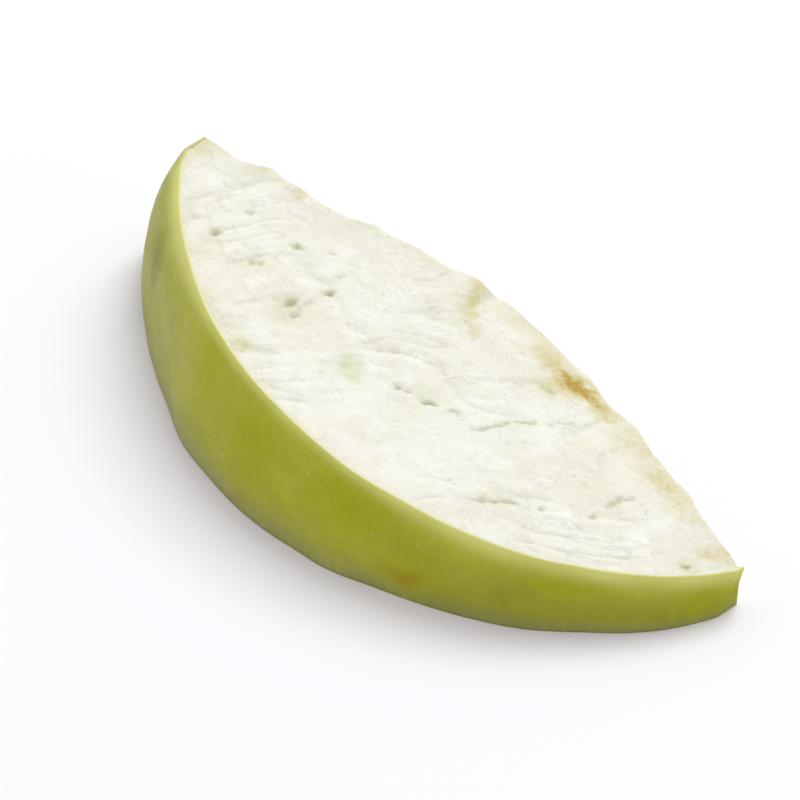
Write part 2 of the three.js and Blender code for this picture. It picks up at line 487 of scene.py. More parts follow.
def to_stretch(x, y, start, end):
    """Distance from each point to the straight stretch from start to end."""
    run = np.subtract(end, start)
    share = ((x - start[0]) * run[0] + (y - start[1]) * run[1]) / (run @ run)
    share = np.clip(share, 0, 1)
    return np.hypot(x - start[0] - share * run[0], y - start[1] - share * run[1])


def spots(x, y, marks):
    """The sum of one bell for each mark: strength times the bell of the distance to it."""
    total = np.zeros_like(x)
    for mark_x, mark_y, radius, strength in marks:
        total += strength * bell(np.hypot(x - mark_x, y - mark_y), radius)
    return total


def patches_on(x, height, rows):
    """The sum of one stretched bell for each patch, times its strength."""
    total = np.zeros_like(x)
    for at_x, at_height, half_length, half_height, strength in rows:
        away = np.hypot((x - at_x) / half_length, (height - at_height) / half_height)
        total += strength * bell(away, 1)
    return total


def dimples(x, y, rows, steepness):
    """The sum over the rows (x, y, length, width, turn, depth) of depth times e to the minus
    steepness-th power of the turned and stretched distance."""
    total = np.zeros_like(x)
    for at_x, at_y, length, width, turn, depth in rows:
        angle = math.radians(turn)
        along = (x - at_x) * math.cos(angle) + (y - at_y) * math.sin(angle)
        across = (y - at_y) * math.cos(angle) - (x - at_x) * math.sin(angle)
        total += depth * np.exp(-np.hypot(along / length, across / width) ** steepness)
    return total


def crack_depth(x, y, cracks):
    """For each crack its depth and its darkness times a sharp-bottomed fall from its run: e
    to the minus 1.4th power of distance over half width."""
    depth = np.zeros_like(x)
    dark = np.zeros_like(x)
    for points, half_width, deep, darkness in cracks:
        away = np.full_like(x, 99.0)
        for start, end in zip(points[:-1], points[1:]):
            away = np.minimum(away, to_stretch(x, y, start, end))
        groove = np.exp(-((away / half_width) ** 1.4))
        depth += deep * groove
        dark += darkness * groove
    return depth, dark


def scattered(seed, count, box, sizes, depths):
    """count rows for dimples inside box (low x, high x, low y, high y), drawn from seed."""
    random = np.random.default_rng(seed)
    size = random.uniform(*sizes, count)
    return np.stack(
        (
            random.uniform(box[0], box[1], count),
            random.uniform(box[2], box[3], count),
            size * random.uniform(1.0, 2.0, count),
            size,
            random.uniform(0, 180, count),
            random.uniform(*depths, count),
        ),
        axis=1,
    )


# ---- meshes ----


def box_lattice(along, across, up):
    """The surface of a lattice box as whole numbers: one row (i, j, k) for each point of its
    six sides, shared on the edges, and its quads, wound so that they face out."""
    sizes = (along, across, up)
    quads = []
    for axis in range(3):
        first, second = [a for a in range(3) if a != axis]
        for side in (0, sizes[axis]):
            n, m = sizes[first], sizes[second]
            i, j = np.meshgrid(np.arange(n + 1), np.arange(m + 1), indexing="ij")
            cell = np.zeros((n + 1, m + 1, 3), int)
            cell[..., axis] = side
            cell[..., first] = i
            cell[..., second] = j
            key = (cell[..., 0] * (across + 1) + cell[..., 1]) * (up + 1) + cell[..., 2]
            ring = (key[:-1, :-1], key[1:, :-1], key[1:, 1:], key[:-1, 1:])
            quad = np.stack([r.ravel() for r in ring], axis=1)
            faces_out = (axis != 1) == (side > 0)
            quads.append(quad if faces_out else quad[:, ::-1])
    unique, inverse = np.unique(np.concatenate(quads).ravel(), return_inverse=True)
    rest, k = np.divmod(unique, up + 1)
    i, j = np.divmod(rest, across + 1)
    return np.stack((i, j, k), axis=1), inverse.reshape(-1, 4)


def vertex_normals(points, quads):
    """Each vertex's normal: the sum of the cross products of its quads' diagonals, scaled
    to a length of 1."""
    a, b, c, d = (points[quads[:, n]] for n in range(4))
    face = np.cross(c - a, d - b)
    total = np.zeros_like(points)
    for axis in range(3):
        share = np.repeat(face[:, axis], 4)
        total[:, axis] = np.bincount(quads.ravel(), share, len(points))
    length = np.linalg.norm(total, axis=1)[:, None]
    return total / np.maximum(length, 1e-12)


def relax(points, quads, weight, rounds):
    """Rounds sharp edges: moves each vertex towards the mean of its neighbours, weight times
    the way, again and again."""
    ends = np.concatenate([quads, np.roll(quads, -1, axis=1)], axis=0).reshape(2, -1)
    one, other = ends
    count = np.bincount(np.concatenate((one, other)), minlength=len(points))
    for _ in range(rounds):
        mean = np.empty_like(points)
        for axis in range(3):
            column = points[:, axis]
            total = np.bincount(one, column[other], len(points))
            total += np.bincount(other, column[one], len(points))
            mean[:, axis] = total / count
        points = mix(points, mean, weight[:, None])
    return points


def make_piece(name, points, quads, material, uv=None, attributes=None):
    """A smooth-shaded mesh object from points in millimetres, with its material, its own UV
    map and its vertex attributes."""
    mesh = bpy.data.meshes.new(name)
    mesh.vertices.add(len(points))
    mesh.vertices.foreach_set("co", (points * METRES).astype(np.float32).ravel())
    mesh.loops.add(quads.size)
    mesh.loops.foreach_set("vertex_index", quads.astype(np.int32).ravel())
    mesh.polygons.add(len(quads))
    mesh.polygons.foreach_set("loop_start", np.arange(0, quads.size, 4, dtype=np.int32))
    mesh.update(calc_edges=True)
    mesh.shade_smooth()
    for key, values in (attributes or {}).items():
        layer = mesh.attributes.new(key, "FLOAT", "POINT")
        layer.data.foreach_set("value", values.astype(np.float32))
    if uv is not None:
        layer = mesh.uv_layers.new(name="OFBake")
        layer.data.foreach_set("uv", uv.astype(np.float32).ravel())
    mesh.validate()
    mesh.materials.append(material)
    piece = bpy.data.objects.new(name, mesh)
    bpy.context.scene.collection.objects.link(piece)
    return piece


def ends_closer(share, amount):
    """Moves even shares of 0 to 1 closer together near both ends: a mix with a cosine."""
    return mix(share, 0.5 - 0.5 * np.cos(np.pi * share), amount)


# How much closer the mesh rows lie at the tips, and at the peel and the core.
TIP_GATHERING = 0.35
SIDE_GATHERING = 0.3


# ---- materials ----

# Tints of the flesh.
STREAK_GREEN = (0.68, 0.69, 0.50)
FIBRE_GREY = (0.62, 0.62, 0.46)
PORE_GREY = (0.58, 0.58, 0.40)
HAIR_GREEN = (0.58, 0.60, 0.38)
# Grey-green of the hollows: partly their own tint, partly painted shade that deepens with their
# depth.
HOLLOW_GREEN_AND_SHADE = (0.44, 0.46, 0.28)
RIM_CREAM = (0.80, 0.785, 0.47)
MARK_GREEN = (0.55, 0.60, 0.26)
OCHRE = (0.60, 0.53, 0.17)
DEEP_BROWN = (0.44, 0.25, 0.03)

# Tints of the peel: attribute, strength, colour, first those below the mottling.
UPRIGHT_GREEN = (0.50, 0.52, 0.07)
SPECKLE_GREEN = (0.55, 0.55, 0.20)
DOT_CREAM = (0.60, 0.59, 0.28)
BROAD_PEEL_TINTS = (
    # Painted shade: darker towards the thin tip and along the foot.
    ("shade", 0.55, (0.228, 0.236, 0.018)),
    # Painted reflection of the floor: greyer and bluer along the foot.
    ("foot", 0.6, (0.285, 0.28, 0.19)),
    # Painted sheen: greyer towards the thick tip and low down.
    ("bloom", 0.5, (0.365, 0.37, 0.13)),
    ("fresh", 1, (0.37, 0.40, 0.0)),
    # Lighter patches, and painted light over the upper part of the peel.
    ("light", 1, (0.47, 0.51, 0.035)),
)
LAST_PEEL_TINTS = (
    ("pale", 1, (0.70, 0.715, 0.20)),
    ("cut", 1, (0.80, 0.80, 0.44)),
    ("dusk", 1, (0.21, 0.23, 0.02)),
    ("bruise", 1, (0.35, 0.235, 0.006)),
)


class Nodes:
    """A material's node tree, built up one node at a time, with its colour and its normal
    so far."""

    def __init__(self, name, color):
        self.material = bpy.data.materials.new(name)
        self.material.use_nodes = True
        self.tree = self.material.node_tree
        self.tree.nodes.clear()
        output = self.tree.nodes.new("ShaderNodeOutputMaterial")
        self.shader = self.tree.nodes.new("ShaderNodeBsdfPrincipled")
        self.tree.links.new(self.shader.outputs["BSDF"], output.inputs["Surface"])
        self.place = self.tree.nodes.new("ShaderNodeTexCoord").outputs["Object"]
        self.color = color
        self.normal = None

    def put(self, socket, value):
        """Links value to the socket if it is a socket, and else sets it."""
        if isinstance(value, bpy.types.NodeSocket):
            self.tree.links.new(value, socket)
        elif hasattr(value, "__len__") and len(value) == 3 and len(socket.default_value) == 4:
            socket.default_value = (*value, 1)
        else:
            socket.default_value = value

    def add(self, kind, inputs, **choices):
        """A new node of this kind with its choices made and its inputs linked or set."""
        node = self.tree.nodes.new("ShaderNode" + kind)
        for name, choice in choices.items():
            setattr(node, name, choice)
        for key, value in inputs.items():
            self.put(node.inputs[key], value)
        return node

    def stretched(self, lengths, turn):
        """Object coordinates turned about Z by turn, each axis then divided by its length, so
        that what is drawn on them gets that much longer along the turned axes."""
        inputs = {"Vector": self.place, "Rotation": (0, 0, turn), "Scale": lengths}
        return self.add("Mapping", inputs, vector_type="TEXTURE").outputs["Vector"]

    def warped(self, size, amount):
        """Object coordinates moved about by up to amount millimetres of noise."""
        inputs = {"Vector": self.place, "Scale": 1 / (size * METRES), "Detail": 2}
        ways = self.add("TexNoise", inputs).outputs["Color"]
        inputs = {0: ways, 1: (2 * amount * METRES,) * 3, 2: self.place}
        return self.add("VectorMath", inputs, operation="MULTIPLY_ADD").outputs["Vector"]

    def noise(self, size, detail=3.0, rough=0.5, warp=0.0, place=None):
        """Noise with features of about size millimetres, 0 to 1."""
        inputs = {"Vector": place or self.place, "Scale": 1 / (size * METRES)}
        inputs.update({"Detail": detail, "Roughness": rough, "Distortion": warp})
        return self.add("TexNoise", inputs).outputs["Fac"]

    def cells(self, size, feature="F1", place=None):
        """Distance to the nearest of scattered points about size millimetres apart, or to
        the nearest border between their cells."""
        inputs = {"Vector": place or self.place, "Scale": 1 / (size * METRES)}
        return self.add("TexVoronoi", inputs, feature=feature).outputs["Distance"]

    def attribute(self, name):
        """The value of one of the mesh's own attributes."""
        return self.add("Attribute", {}, attribute_name=name).outputs["Fac"]

    def span(self, value, low, high, to_low=0.0, to_high=1.0):
        """value from low..high moved to to_low..to_high, held at both ends."""
        names = ("Value", "From Min", "From Max", "To Min", "To Max")
        inputs = dict(zip(names, (value, low, high, to_low, to_high)))
        return self.add("MapRange", inputs, interpolation_type="SMOOTHSTEP").outputs["Result"]

    def times(self, *factors):
        """The product of numbers."""
        result = factors[0]
        for factor in factors[1:]:
            result = self.add("Math", {0: result, 1: factor}, operation="MULTIPLY").outputs[0]
        return result

    def tint(self, share, color):
        """Mixes color into the colour so far by share: input 0 of the mix is the share, 6 and
        7 are its two colours, and its colour comes out at 2."""
        inputs = {0: share, 6: self.color, 7: color}
        self.color = self.add("Mix", inputs, data_type="RGBA", clamp_factor=True).outputs[2]

    def bump(self, height, distance):
        """Adds a bump of distance millimetres from height to the normal so far."""
        inputs = {"Height": height, "Distance": distance * METRES}
        if self.normal is not None:
            inputs["Normal"] = self.normal
        self.normal = self.add("Bump", inputs).outputs["Normal"]

    def finish(self, **inputs):
        """Gives the shader its colour and normal and its own inputs, named with _ for a
        space."""
        inputs["Base_Color"] = self.color
        if self.normal is not None:
            inputs["Normal"] = self.normal
        for name, value in inputs.items():
            self.put(self.shader.inputs[name.replace("_", " ")], value)
        return self.material


def flesh_material(settings):
    """Chalky dried flesh: cream mottled in three sizes, with fine fibres, pores and broken
    hair cracks, duller and darker in its hollows, partly their own grey-green and partly
    painted shade, yellow-green beside the peel, and ochre to brown where it browned."""
    nodes = Nodes("dried_flesh", tuple(settings.flesh_color))
    warm = tuple(settings.flesh_warm_color)
    white = tuple(settings.flesh_white_color)
    tone = nodes.attribute("tone")

    broad = nodes.span(nodes.noise(9.0, 3.0, 0.55, 0.6), 0.38, 0.66)
    nodes.tint(nodes.times(broad, 0.8), warm)
    nodes.tint(nodes.span(tone, 0.5, 0.0, 0.0, 0.8), warm)
    clouds = nodes.span(nodes.noise(2.4, 4.0, 0.6, 0.8), 0.45, 0.72)
    nodes.tint(nodes.times(clouds, 0.7), white)
    # Whiter places; on the raised flakes partly painted highlight.
    nodes.tint(nodes.span(tone, 0.5, 1.0, 0.0, 0.9), white)

    fibres = nodes.noise(0.34, 4.0, 0.6, 0.0, nodes.stretched((6.0, 1.0, 1.6), math.radians(52)))
    streaks = nodes.noise(1.0, 3.0, 0.6, 0.5, nodes.stretched((4.0, 1.0, 1.5), math.radians(48)))
    nodes.tint(nodes.times(nodes.span(streaks, 0.55, 0.78), 0.18), STREAK_GREEN)
    nodes.tint(nodes.span(fibres, 0.55, 0.75, 0.0, 0.08), FIBRE_GREY)

    pores = nodes.span(nodes.noise(0.30, 2.0, 0.6, 0.4), 0.58, 0.72)
    pores = nodes.times(pores, nodes.span(nodes.noise(1.8), 0.35, 0.65, 0.25, 1.0))
    nodes.tint(nodes.times(pores, 0.10), PORE_GREY)
    border = nodes.cells(2.6, "DISTANCE_TO_EDGE", nodes.warped(1.1, 0.8))
    hairs = nodes.span(border, 0.0, 0.05, 1.0, 0.0)
    hairs = nodes.times(hairs, nodes.span(nodes.noise(2.6), 0.56, 0.68))
    nodes.tint(nodes.times(hairs, 0.04), HAIR_GREEN)

    # Partly painted shade: the hollows duller and darker for their depth.
    nodes.tint(nodes.attribute("hollow"), HOLLOW_GREEN_AND_SHADE)
    nodes.tint(nodes.attribute("rim"), RIM_CREAM)
    uneven = nodes.span(nodes.noise(0.8), 0.25, 0.7, 0.55, 1.1)
    nodes.tint(nodes.times(nodes.attribute("green"), uneven, 0.55), MARK_GREEN)
    patchy = nodes.span(nodes.noise(0.5, 5.0, 0.65), 0.25, 0.75, 0.65, 1.2)
    brown = nodes.times(nodes.attribute("brown"), patchy)
    nodes.tint(nodes.times(brown, 0.62), OCHRE)
    nodes.tint(nodes.span(brown, 0.8, 2.4, 0.0, 0.95), DEEP_BROWN)

    grain = nodes.noise(0.26, 5.0, 0.7)
    nodes.bump(nodes.noise(0.9, 3.0, 0.55), 0.10)
    nodes.bump(fibres, 0.07)
    nodes.bump(grain, 0.05)
    nodes.bump(nodes.times(pores, -1.0), 0.04)
    nodes.bump(nodes.times(hairs, -1.0), 0.025)
    return nodes.finish(
        Roughness=nodes.span(grain, 0.3, 0.7, 0.80, 0.96),
        Specular_IOR_Level=0.3,
        Subsurface_Weight=0.12,
        Subsurface_Radius=(0.9, 0.8, 0.55),
        Subsurface_Scale=1.0 * METRES,
    )


def peel_material(settings):
    """Thin waxy peel: yellow-green mottled with brighter and olive patches, pale dots, a
    paler cut edge, a greyish painted sheen towards the thick tip and low down, painted shade,
    a painted reflection of the floor, painted light over its upper part and a brown bruise."""
    nodes = Nodes("green_peel", tuple(settings.peel_color))
    olive = tuple(settings.peel_olive_color)

    along = nodes.stretched((1.7, 1.0, 1.0), 0.0)
    patches = nodes.span(nodes.noise(6.0, 2.0, 0.5, 0.0, along), 0.40, 0.64)
    nodes.tint(patches, tuple(settings.peel_bright_color))
    blotches = nodes.span(nodes.noise(4.2, 2.0, 0.5, 0.2, along), 0.5, 0.7)
    nodes.tint(nodes.times(blotches, 0.5), olive)
    for name, strength, color in BROAD_PEEL_TINTS:
        nodes.tint(nodes.times(nodes.attribute(name), strength), color)
    mottle = nodes.span(nodes.noise(0.9, 4.0, 0.65, 0.6), 0.35, 0.70)
    nodes.tint(nodes.times(mottle, 0.28), olive)
    upright = nodes.noise(0.7, 3.0, 0.6, 0.2, nodes.stretched((1.0, 1.0, 4.0), 0.0))
    nodes.tint(nodes.span(upright, 0.5, 0.75, 0.0, 0.22), UPRIGHT_GREEN)

    speckles = nodes.span(nodes.cells(1.2), 0.06, 0.13, 1.0, 0.0)
    dots = nodes.span(nodes.cells(2.7), 0.055, 0.095, 1.0, 0.0)
    dots = nodes.times(dots, nodes.span(nodes.noise(4.0, 2.0), 0.35, 0.6, 0.3, 1.0))
    nodes.tint(nodes.times(speckles, 0.16), SPECKLE_GREEN)
    nodes.tint(nodes.times(dots, 0.42), DOT_CREAM)
    for name, strength, color in LAST_PEEL_TINTS:
        nodes.tint(nodes.times(nodes.attribute(name), strength), color)

    creases = nodes.noise(1.2, 3.0, 0.55, 0.3, nodes.stretched((2.2, 1.0, 0.9), 0.0))
    nodes.bump(creases, 0.11)
    nodes.bump(upright, 0.05)
    nodes.bump(nodes.noise(0.22, 3.0, 0.55), 0.012)
    nodes.bump(dots, 0.03)
    return nodes.finish(
        Roughness=nodes.span(nodes.noise(3.0, 3.0, 0.6), 0.3, 0.7, 0.40, 0.56),
        Specular_IOR_Level=0.13,
        Subsurface_Weight=0.05,
        Subsurface_Radius=(0.6, 0.7, 0.2),
        Subsurface_Scale=0.6 * METRES,
    )


def floor_material(settings):
    """A plain matt pale surface."""
    return Nodes("pale_floor", tuple(settings.floor_color)).finish(Roughness=0.9)


# ---- the flesh ----

# How far the flesh's step back reaches: from the peel, from the tips and down from the cut.
PEEL_REACH = 2.0
TIP_REACH = 1.6
SHOULDER_REACH = 0.4
# The skin's dents fade out over this length at both tips.
DENT_FADE = 1.5
# The seed chamber: where it is widest, half its length, and its middle and half its height
# as shares of the core side's height.
CHAMBER_X = 11.5
CHAMBER_HALF_LENGTH = 14.5
CHAMBER_MIDDLE = 0.56
CHAMBER_HALF_HEIGHT = 0.36
# How much smoother its wall is than the flesh, and how high its border stands.
CHAMBER_CALM = 0.75
CHAMBER_BORDER_HEIGHT = 0.12
# Beside the peel and the tips the relief is calmer: its share there, and how far that reaches.
RIM_RELIEF = 0.3
RIM_CALM_REACH = 1.4
TIP_CALM_REACH = 2.0
# A slice narrower than this sags less.
FULL_SAG_WIDTH = 12.0
# The core edge: how calm the band beside it is, how far that reaches, the lip along it and
# its crumbs.
CORE_CALM = 0.75
CORE_CALM_REACH = 1.6
LIP_HEIGHT = 0.12
LIP_HALF_WIDTH = 0.9
CRUMB_DEPTH = 0.22
CRUMB_HALF_WIDTH = 0.6
# Where the peel ends at a tip: how far that reaches, how much calmer the flesh is there, how
# far the core side steps back and how far the upper cut rises to the peel at the thin tip.
JOINT_REACH = 0.8
JOINT_CALM = 0.7
JOINT_SET_BACK = 0.05
JOINT_RISE = 0.03
# The way the folds run, and how sharply the edges of pits and flakes fall.
FOLD_TURN = math.radians(50)
PIT_STEEPNESS = 2.6
FLAKE_STEEPNESS = 2.2
# How far the outlines of pits, cracks and flakes are frayed, and how finely.
FRAY = 0.32
FRAY_LENGTH = 0.7
# How dark a hollow is for its depth, partly its own grey-green and partly painted shade:
# pits of the upper cut, large and small, pits of the other faces, cracks, creases and seams.
PIT_DARK = 2.3
SMALL_PIT_DARK = 1.1
OTHER_PIT_DARK = 0.9
CRACK_DARK = 0.85
CREASE_DARK = 0.22
SEAM_DARK = 0.12
# How far the noise shifts the stains of the flesh.
STAIN_SHIFT = 0.55
# Small pits of the upper cut, the underside and the core side: seed, count, box, sizes,
# depths.
TOP_SCATTER = (41, 90, (-30, 32, -13, 13), (0.12, 0.24), (0.05, 0.14))
UNDER_SCATTER = (43, 70, (-31, 32, -13, 13), (0.18, 0.5), (0.12, 0.35))
SIDE_SCATTER = (47, 60, (-32, 33, 0.8, 12), (0.16, 0.4), (0.1, 0.3))


def quarter_turn(run):
    """The level direction a quarter turn to the right of each run, with a length of 1."""
    out = np.stack((run[..., 1], -run[..., 0], np.zeros(run.shape[:-1])), axis=-1)
    return out / np.maximum(np.linalg.norm(out, axis=-1)[..., None], 1e-12)


def out_of_peel(along, up):
    """The level direction out of the peel: a small step along the slice, turned."""
    step = 0.002
    ahead = place(np.minimum(along + step, 1), 0 * along, up)
    return quarter_turn(ahead - place(np.maximum(along - step, 0), 0 * along, up))


def skin_dents(points, noise):
    """How far the dried skin stands out of the plain form: low dents and finer ripples."""
    dents = noise.layers(points * (0.8, 1, 1.1) / 6.5, 2)
    return 0.09 * dents + 0.025 * noise.gradient(points * (0.5, 1, 1.4) / 1.7 + 3.0)


def skin_share(along):
    """0 at both tips to 1 further in: how much of its dents the skin has there."""
    return smooth_step(0, DENT_FADE / SLICE_LENGTH, np.minimum(along, 1 - along))


def fade(distance, reach):
    """1 at a distance of 0, falling smoothly to 0 at reach."""
    return 1 - smooth_step(0, reach, distance)


def facing(normal_share):
    """0 to 1: how far a face turns one way, from that component of its normal."""
    return np.clip(normal_share * 1.3 - 0.2, 0, 1)


def wrinkle_height(points, noise):
    """Long low folds: noise stretched along a slowly turning direction, broad ridges with
    narrow creases between them, strong in some places and faint in others."""
    x, y, z = points.T
    turn = FOLD_TURN + 0.45 * noise.gradient(points / 15.0)
    bend = 0.8 * noise.gradient(points / 4.5 + 7.0)
    along = x * np.cos(turn) + y * np.sin(turn)
    across = y * np.cos(turn) - x * np.sin(turn) + bend
    coarse = np.stack((along / 9.0, across / 3.0, z / 5.0), axis=1)
    fine = np.stack((along / 4.2, across / 1.3, z / 2.4), axis=1)
    ridges = np.sqrt(np.abs(noise.gradient(coarse)) + 0.01)
    folds = np.sqrt(np.abs(noise.gradient(fine + 31.0)) + 0.01)
    strong = smooth_step(-0.35, 0.4, noise.gradient(points / 7.0 + 3.0))
    return ridges, folds, strong


def chamber_share(points, face_out):
    """How far a point belongs to the smooth wall of the seed chamber: a low lens on the core
    side, from 0 at its border to 1 inside."""
    x, _, z = points.T
    top = cut_height(x, core_y(x))
    lens = 1 - ((x - CHAMBER_X) / CHAMBER_HALF_LENGTH) ** 2
    lens -= ((z / top - CHAMBER_MIDDLE) / CHAMBER_HALF_HEIGHT) ** 2
    return smooth_step(0, 0.4, lens) * face_out, bell(lens - 0.03, 0.09) * face_out


def flesh_relief(points, normals, settings, noise):
    """Height of the dried flesh's own relief along the normal, and how dark its hollows
    are, partly their own grey-green and partly painted shade: broad waves, folds, lumps,
    seams, grain, pits, cracks and flakes."""
    x, y, z = points.T
    up, down, out = (facing(n) for n in (normals[:, 2], -normals[:, 2], normals[:, 1]))
    ridges, folds, strong = wrinkle_height(points, noise)
    waves = noise.gradient(points / 10.0 + 11.0)
    warp = np.stack([noise.gradient(points / 1.5 + k) for k in (3.1, 5.7, 8.3)], axis=1)
    near, second = noise.cells((points + 0.5 * warp) / (2.4, 1.7, 1.9))
    seams = np.clip(1 - (second - near) / 0.2, 0, 1)
    seam_gate = smooth_step(0.0, 0.35, noise.gradient(points / 3.2 + 25.0))
    lumps, _ = noise.cells(points / 1.1 + 40.0)
    grain = noise.layers(points / 0.8, 2)

    height = in_mm(settings.wave_height) * waves
    height += in_mm(settings.wrinkle_height) * (0.3 + 0.7 * strong) * (ridges - 0.5)
    height += 0.5 * in_mm(settings.wrinkle_height) * strong * (folds - 0.5)
    height += in_mm(settings.lump_height) * (0.5 - lumps)
    height -= in_mm(settings.seam_depth) * seams * seam_gate
    height += in_mm(settings.grain_height) * grain
    chamber, border = chamber_share(points, out)
    height = height * (1 - CHAMBER_CALM * chamber) - in_mm(settings.chamber_depth) * chamber
    height += CHAMBER_BORDER_HEIGHT * border

    frayed_x = x + FRAY * noise.gradient(points / FRAY_LENGTH + 50.0)
    frayed_y = y + FRAY * noise.gradient(points / FRAY_LENGTH + 60.0)
    broken = smooth_step(-0.45, 0.0, noise.gradient(points / 0.9 + 70.0))
    top_pits = dimples(frayed_x, frayed_y, PITS, PIT_STEEPNESS)
    cracks, crack_dark = crack_depth(frayed_x, frayed_y, CRACKS)
    small = dimples(frayed_x, frayed_y, scattered(*TOP_SCATTER), PIT_STEEPNESS)
    under = dimples(frayed_x, frayed_y, scattered(*UNDER_SCATTER), PIT_STEEPNESS)
    side = dimples(frayed_x, z, scattered(*SIDE_SCATTER), PIT_STEEPNESS) * (1 - chamber)
    flakes = dimples(frayed_x, frayed_y, FLAKES, FLAKE_STEEPNESS)
    pits = up * (top_pits + small + cracks * broken) + down * under + out * side
    height = height - pits + up * flakes

    # How dark the hollows are for their depth: partly their own grey-green, partly painted shade.
    dark = up * (PIT_DARK * top_pits + SMALL_PIT_DARK * small + CRACK_DARK * crack_dark * broken)
    dark += OTHER_PIT_DARK * (down * under + out * side)
    dark += CREASE_DARK * strong * smooth_step(0.42, 0.12, ridges)
    dark += SEAM_DARK * seams * seam_gate
    return height, np.clip(dark, 0, 1)


def flesh_marks(points, normals, noise):
    """How brown, how green and how white or warm the flesh is at each point: the marks of
    the upper cut, a browned line along the core edge, the seed chamber's wall and faint
    scattered tints on the other faces."""
    x, y, z = points.T
    shift_x = STAIN_SHIFT * noise.layers(points / 1.5 + 9.0, 2)
    shift_y = STAIN_SHIFT * noise.layers(points / 1.5 + 29.0, 2)
    up = np.clip(normals[:, 2] * 1.4, 0, 1)
    out = facing(normals[:, 1])
    to_core = core_y(x) - y
    near_top = smooth_step(2.2, 0.3, cut_height(x, y) - z)
    brown = spots(x + shift_x, y + shift_y, BROWN_MARKS) * np.maximum(up, near_top)
    green = spots(x + shift_x, y + shift_y, GREEN_MARKS) * up
    patchy = smooth_step(-0.2, 0.5, noise.gradient(points / 3.0 + 21.0))
    along_strip = smooth_step(0.02, 0.2, strip_share(x)) * smooth_step(1, 0.85, strip_share(x))
    brown += bell(to_core, 0.6) * near_top * (0.18 + 0.55 * along_strip * patchy)
    brown += 0.14 * along_strip * up * fade(to_core, STRIP_WIDTH)
    chamber, border = chamber_share(points, out)
    brown += 0.42 * chamber + 0.6 * border * patchy
    other = 1 - up
    brown += 0.22 * other * smooth_step(0.25, 0.8, noise.layers(points / 5.0 + 2.0, 2))
    green += 0.25 * other * smooth_step(0.3, 0.8, noise.layers(points / 4.0 + 13.0, 2))
    tone = spots(x + 2 * shift_x, y + 2 * shift_y, TONE_MARKS) * up
    return np.clip(brown, 0, 2.2), np.clip(green, 0, 1), np.clip(0.5 + 0.5 * tone, 0, 1)


def flesh_uv(lattice, quads, sizes):
    """The flesh's own map: the upper and lower cuts one above the other, and the four narrow
    sides as strips below them, with gaps between all six."""
    i, j, k = (lattice[:, n] / sizes[n] for n in range(3))
    corner = np.stack((i, j, k), axis=1)[quads]
    middle = corner.mean(axis=1)
    uv = np.empty((len(quads), 4, 2))
    patches = (
        # axis, which end of it, low corner and size of that side's place in the map
        (2, 1, (0.01, 0.585), (0.98, 0.405)),
        (2, 0, (0.01, 0.17), (0.98, 0.405)),
        (1, 1, (0.01, 0.01), (0.90, 0.15)),
        (1, 0, (0.92, 0.135), (0.07, 0.025)),
        (0, 1, (0.92, 0.07), (0.07, 0.055)),
        (0, 0, (0.92, 0.005), (0.07, 0.055)),
    )
    for axis, end, low, size in patches:
        here = middle[:, axis] == end
        for n, share in enumerate(a for a in range(3) if a != axis):
            uv[here, :, n] = low[n] + size[n] * corner[here][..., share]
    return uv


